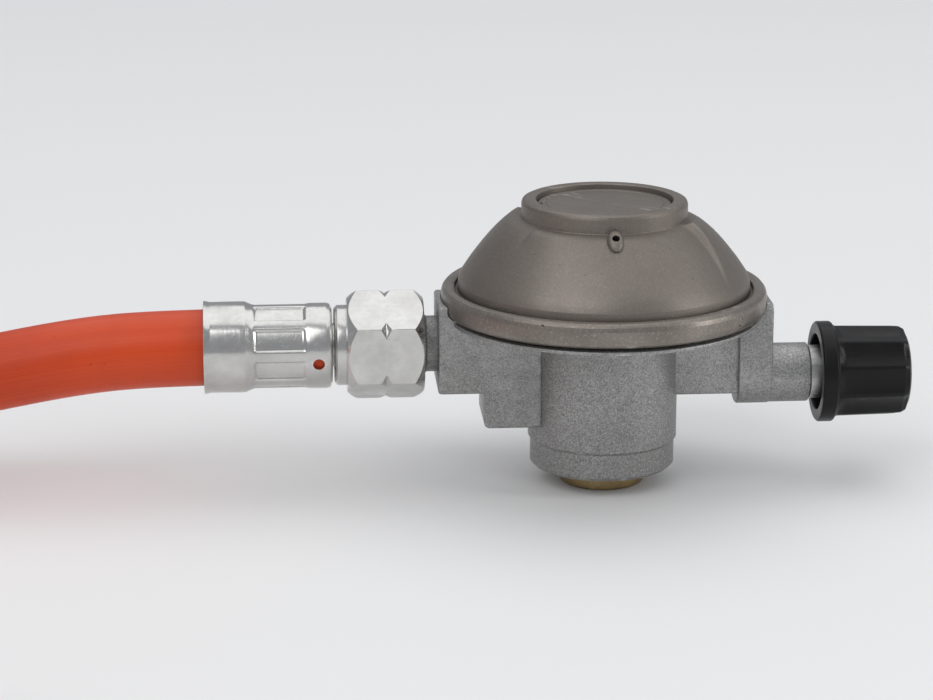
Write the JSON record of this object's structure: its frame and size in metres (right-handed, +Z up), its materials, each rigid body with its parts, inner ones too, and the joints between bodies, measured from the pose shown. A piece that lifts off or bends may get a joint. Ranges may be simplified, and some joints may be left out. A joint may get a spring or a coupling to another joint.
{
  "type": "gas regulator with hose",
  "caption": "Low-pressure gas regulator for a screw-on cartridge, with a domed spring cover, a shut-off knob and an orange hose with union nuts at its ends.",
  "frame": {"origin": "centre of the brass cartridge inlet's mouth, on the surface that the regulator stands on", "axes": "+Z up the diaphragm's axis, +X towards the shut-off knob, -X along the outlet; the hose bends towards -Y"},
  "size_m": [0.3236, 0.1792, 0.0572],
  "materials": {
    "cast_zinc": "bead-blasted die casting, satin sparkle",
    "cover_zinc": "warm grey passivated zinc, smooth satin",
    "rim_zinc": "warm grey passivated zinc, smooth satin with small pits",
    "brass": "turned, slightly tarnished",
    "steel": "zinc plated",
    "sintered_bronze": "sintered, rough",
    "spring_steel": "drawn wire",
    "bright_nickel": "bright nickel plate",
    "black_rubber": "moulded, matte",
    "black_plastic": "moulded, satin",
    "orange_hose": "smooth extruded cover, satin"
  },
  "bodies": {
    "regulator": {"body_casting": "cast_zinc", "crimp_ring": "rim_zinc", "cover_dome": "cover_zinc", "marking_disc": "cover_zinc", "spring_adjuster": "brass", "main_spring": "spring_steel", "diaphragm": "black_rubber", "lever_pin": "steel", "valve_guide": "brass", "valve_nozzle": "brass", "inlet_filter": "sintered_bronze", "cartridge_inlet": "brass", "inlet_seal": "black_rubber", "valve_pin": "brass", "gland_nut": "steel"},
    "shut_off_carriage": {"shut_off_pad": "black_rubber"},
    "knob": {"shut_off_spindle": "brass", "spindle_o_ring": "black_rubber", "control_knob": "black_plastic"},
    "diaphragm_stem": {"diaphragm_hub": "brass", "diaphragm_plate": "steel", "hub_nut": "brass"},
    "lever": {"valve_lever": "steel"},
    "plunger": {"valve_plunger": "brass", "valve_pad": "black_rubber"},
    "hose": {"hose_tail": "bright_nickel", "hose_ferrule": "bright_nickel", "hose_tube": "orange_hose", "far_ferrule": "bright_nickel", "far_tail": "bright_nickel"},
    "nut": {"union_nut": "bright_nickel"},
    "far_nut": {"far_union_nut": "bright_nickel"}
  },
  "joints": [
    {"name": "shut_off_travel", "type": "slide", "parent": "regulator", "child": "shut_off_carriage", "axis": [1, 0, 0], "range_m": [0, 0.0015]},
    {"name": "knob_turn", "type": "hinge", "parent": "shut_off_carriage", "child": "knob", "pos_m": [0.05, 0, 0.0213], "axis": [1, 0, 0], "range_deg": [0, 540]},
    {"name": "union_slide", "type": "slide", "parent": "regulator", "child": "hose", "axis": [-1, 0, 0], "range_m": [0, 0.0087]},
    {"name": "nut_turn", "type": "hinge", "parent": "hose", "child": "nut", "pos_m": [-0.0431, 0, 0.0285], "axis": [1, 0, 0], "range_deg": [0, 2345]},
    {"name": "far_nut_spin", "type": "hinge", "parent": "hose", "child": "far_nut", "pos_m": [-0.1205, -0.1362, 0.0095], "axis": [1, 0, 0], "continuous": true},
    {"name": "diaphragm_stroke", "type": "slide", "parent": "regulator", "child": "diaphragm_stem", "axis": [0, 0, 1], "range_m": [0, 0.001], "stiffness_N_per_m": 1500, "deforming": ["main_spring", "diaphragm"]},
    {"name": "lever_swing", "type": "hinge", "parent": "regulator", "child": "lever", "pos_m": [-0.005, 0, 0.0319], "axis": [0, -1, 0], "range_deg": [0, 11.6]},
    {"name": "plunger_slide", "type": "slide", "parent": "regulator", "child": "plunger", "axis": [0, 0, -1], "range_m": [0, 0.00062]}
  ],
  "couplings": [
    {"joint": "knob_turn", "follows": "shut_off_travel", "rad_per_m": 6283.2},
    {"joint": "nut_turn", "follows": "union_slide", "rad_per_m": 4699.5},
    {"joint": "lever_swing", "follows": "diaphragm_stroke", "rad_per_m": 200},
    {"joint": "plunger_slide", "follows": "diaphragm_stroke", "ratio": 0.6}
  ]
}
